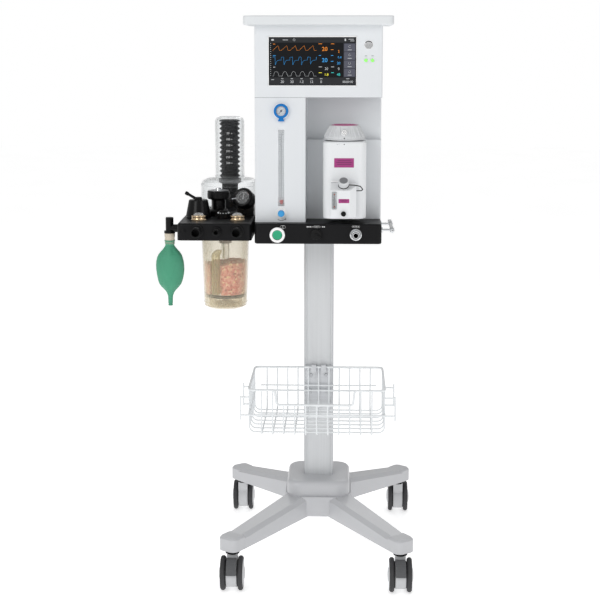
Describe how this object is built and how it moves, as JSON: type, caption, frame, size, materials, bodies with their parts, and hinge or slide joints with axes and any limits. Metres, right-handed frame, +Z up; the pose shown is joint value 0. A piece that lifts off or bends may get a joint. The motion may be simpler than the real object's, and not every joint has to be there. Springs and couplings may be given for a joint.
{
  "type": "veterinary anesthesia machine",
  "caption": "Column-mounted anesthesia machine: cabinet with display and vaporizer over a manifold slab, side absorber with bellows, canister and bag, wire basket, wheeled base.",
  "frame": {"origin": "floor level, under the middle of the whole machine's width and depth; the column axis stands 74 mm to the right of it", "axes": "+Z up, the longest extent; -Y is the operator's side; +X is the operator's right"},
  "size_m": [0.6167, 0.6462, 1.298],
  "materials": {
    "base_paint": "satin light grey enamel",
    "column_aluminium": "anodised, satin",
    "caster_housing": "moulded, fine texture",
    "caster_wheel": "dark rubber tread",
    "pedal_plastic": "ribbed",
    "basket_wire": "powder coated",
    "bracket_steel": "brushed",
    "slab_black": "satin black",
    "flush_green": "gloss",
    "knob_black": "gloss",
    "chrome": "polished",
    "cabinet_paint": "satin light grey enamel",
    "shelf_plastic": "fine texture",
    "display_glass": "lit panel",
    "gauge_case": "gloss",
    "needle_black": "matt",
    "clear_cover": "clear",
    "flow_glass": "clear",
    "float_red": "gloss",
    "flow_knob_blue": "gloss",
    "vaporizer_paint": "satin",
    "dial_plastic": "fluted grip",
    "strap_black": "matt",
    "sight_window": "clear",
    "block_black": "satin black",
    "port_black": "satin",
    "disc_ceramic": "smooth",
    "switch_grey": "satin",
    "bell_clear": "clear",
    "bellows_rubber": "matt",
    "plate_black": "matt",
    "canister_clear": "clear",
    "granules_pink": "granular, matt",
    "seal_black": "matt",
    "tube_clear": "clear, tinted",
    "connector_beige": "satin",
    "bag_green": "soft latex-free rubber"
  },
  "bodies": {
    "frame": {"base_casting": "base_paint", "column": "column_aluminium", "basket_front": "basket_wire", "basket_back": "basket_wire", "basket_left": "basket_wire", "basket_right": "basket_wire", "basket_floor": "basket_wire", "basket_bracket": "bracket_steel", "manifold_slab": "slab_black", "gas_outlet": "chrome", "side_rail": "chrome", "cabinet_head": "cabinet_paint", "cabinet_lower": "cabinet_paint", "shelf": "shelf_plastic", "display": "display_glass", "oxygen_gauge": "gauge_case", "clear_covers": "clear_cover", "flow_tube": "flow_glass", "vaporizer_body": "vaporizer_paint", "cap_strap": "strap_black", "sight_glass": "sight_window", "absorber_block": "block_black", "circuit_ports": "port_black", "steel_fittings": "chrome", "apl_body": "port_black", "airway_gauge": "port_black", "bell_housing": "bell_clear"},
    "flush_button": {"flush_button": "flush_green"},
    "selector": {"selector_knob": "knob_black"},
    "oxygen_pointer": {"oxygen_needle": "needle_black"},
    "float": {"flow_float": "float_red"},
    "flow_control": {"flow_knob": "flow_knob_blue"},
    "dial": {"vaporizer_dial": "dial_plastic"},
    "cap": {"filler_cap": "dial_plastic"},
    "drain": {"drain_screw": "knob_black"},
    "disc_expiratory": {"valve_disc_expiratory": "disc_ceramic"},
    "disc_inspiratory": {"valve_disc_inspiratory": "disc_ceramic"},
    "bag_switch": {"bag_switch": "switch_grey"},
    "apl_knob": {"apl_knob": "switch_grey"},
    "release": {"release_knob": "knob_black"},
    "airway_pointer": {"airway_needle": "needle_black"},
    "bellows_plate": {"bellows_plate": "plate_black", "bellows": "bellows_rubber"},
    "canister": {"canister": "canister_clear", "granules": "granules_pink", "canister_seal": "seal_black", "canister_handle": "tube_clear"},
    "bag": {"bag_elbow": "port_black", "bag_connector": "connector_beige", "breathing_bag": "bag_green"},
    "caster_front_left": {"caster_fork_front_left": "caster_housing"},
    "wheels_front_left": {"caster_wheels_front_left": "caster_wheel"},
    "caster_front_right": {"caster_fork_front_right": "caster_housing"},
    "wheels_front_right": {"caster_wheels_front_right": "caster_wheel"},
    "caster_rear_left": {"caster_fork_rear_left": "caster_housing"},
    "wheels_rear_left": {"caster_wheels_rear_left": "caster_wheel"},
    "caster_rear_right": {"caster_fork_rear_right": "caster_housing"},
    "wheels_rear_right": {"caster_wheels_rear_right": "caster_wheel"},
    "pedal_front_left": {"brake_pedal_front_left": "pedal_plastic"},
    "pedal_front_right": {"brake_pedal_front_right": "pedal_plastic"}
  },
  "joints": [
    {"name": "swivel_front_left", "type": "hinge", "parent": "frame", "child": "caster_front_left", "pos_m": [-0.118, -0.266, 0.1], "axis": [0, 0, 1], "continuous": true},
    {"name": "roll_front_left", "type": "hinge", "parent": "caster_front_left", "child": "wheels_front_left", "pos_m": [-0.118, -0.284, 0.039], "axis": [1, 0, 0], "continuous": true},
    {"name": "brake_front_left", "type": "hinge", "parent": "caster_front_left", "child": "pedal_front_left", "pos_m": [-0.118, -0.284, 0.039], "axis": [1, 0, 0], "range_deg": [0, 18]},
    {"name": "swivel_front_right", "type": "hinge", "parent": "frame", "child": "caster_front_right", "pos_m": [0.266, -0.266, 0.1], "axis": [0, 0, 1], "continuous": true},
    {"name": "roll_front_right", "type": "hinge", "parent": "caster_front_right", "child": "wheels_front_right", "pos_m": [0.266, -0.284, 0.039], "axis": [1, 0, 0], "continuous": true},
    {"name": "brake_front_right", "type": "hinge", "parent": "caster_front_right", "child": "pedal_front_right", "pos_m": [0.266, -0.284, 0.039], "axis": [1, 0, 0], "range_deg": [0, 18]},
    {"name": "swivel_rear_left", "type": "hinge", "parent": "frame", "child": "caster_rear_left", "pos_m": [-0.132, 0.266, 0.1], "axis": [0, 0, 1], "continuous": true},
    {"name": "roll_rear_left", "type": "hinge", "parent": "caster_rear_left", "child": "wheels_rear_left", "pos_m": [-0.132, 0.284, 0.039], "axis": [1, 0, 0], "continuous": true},
    {"name": "swivel_rear_right", "type": "hinge", "parent": "frame", "child": "caster_rear_right", "pos_m": [0.28, 0.266, 0.1], "axis": [0, 0, 1], "continuous": true},
    {"name": "roll_rear_right", "type": "hinge", "parent": "caster_rear_right", "child": "wheels_rear_right", "pos_m": [0.28, 0.284, 0.039], "axis": [1, 0, 0], "continuous": true},
    {"name": "flush_press", "type": "slide", "parent": "frame", "child": "flush_button", "axis": [0, 1, 0], "range_m": [0, 0.002], "stiffness_N_per_m": 400, "springref_m": -0.001},
    {"name": "selector_turn", "type": "hinge", "parent": "frame", "child": "selector", "pos_m": [0.0698, -0.1425, 0.801], "axis": [0, -1, 0], "range_deg": [0, 80]},
    {"name": "oxygen_pointer_turn", "type": "hinge", "parent": "frame", "child": "oxygen_pointer", "pos_m": [-0.0115, -0.1186, 1.0822], "axis": [0, -1, 0], "range_deg": [-250, 0]},
    {"name": "float_rise", "type": "slide", "parent": "frame", "child": "float", "axis": [0, 0, 1], "range_m": [0, 0.15]},
    {"name": "flow_turn", "type": "hinge", "parent": "frame", "child": "flow_control", "pos_m": [-0.0115, -0.12, 0.8465], "axis": [0, -1, 0], "range_deg": [0, 900]},
    {"name": "dial_turn", "type": "hinge", "parent": "frame", "child": "dial", "pos_m": [0.1346, -0.095, 1.016], "axis": [0, 0, 1], "range_deg": [-270, 0]},
    {"name": "cap_turn", "type": "hinge", "parent": "frame", "child": "cap", "pos_m": [0.1326, -0.161, 0.913], "axis": [0, -0.6644, 0.7474], "range_deg": [0, 720]},
    {"name": "drain_turn", "type": "hinge", "parent": "frame", "child": "drain", "pos_m": [0.1326, -0.17, 0.852], "axis": [0, -1, 0], "range_deg": [0, 360]},
    {"name": "disc_expiratory_lift", "type": "slide", "parent": "frame", "child": "disc_expiratory", "axis": [0, 0, 1], "range_m": [0, 0.004]},
    {"name": "disc_inspiratory_lift", "type": "slide", "parent": "frame", "child": "disc_inspiratory", "axis": [0, 0, 1], "range_m": [0, 0.004]},
    {"name": "bag_switch_turn", "type": "hinge", "parent": "frame", "child": "bag_switch", "pos_m": [-0.214, -0.021, 0.825], "axis": [0, 0, 1], "range_deg": [-90, 0]},
    {"name": "apl_turn", "type": "hinge", "parent": "frame", "child": "apl_knob", "pos_m": [-0.169, 0.017, 0.865], "axis": [0, 0, 1], "range_deg": [-270, 0]},
    {"name": "release_turn", "type": "hinge", "parent": "frame", "child": "release", "pos_m": [-0.152, -0.042, 0.825], "axis": [0, 0, 1], "range_deg": [0, 90]},
    {"name": "airway_pointer_turn", "type": "hinge", "parent": "frame", "child": "airway_pointer", "pos_m": [-0.1085, 0.00225, 0.86934], "axis": [-0.3, -0.85, 0.433], "range_deg": [-200, 40]},
    {"name": "bellows_fall", "type": "slide", "parent": "frame", "child": "bellows_plate", "axis": [0, 0, -1], "range_m": [0, 0.105], "deforming": ["bellows"]},
    {"name": "canister_drop", "type": "slide", "parent": "frame", "child": "canister", "axis": [0, 0, -1], "range_m": [0, 0.12]},
    {"name": "bag_swing", "type": "hinge", "parent": "frame", "child": "bag", "pos_m": [-0.275, -0.09, 0.807], "axis": [1, 0, 0], "range_deg": [-35, 35]}
  ]
}
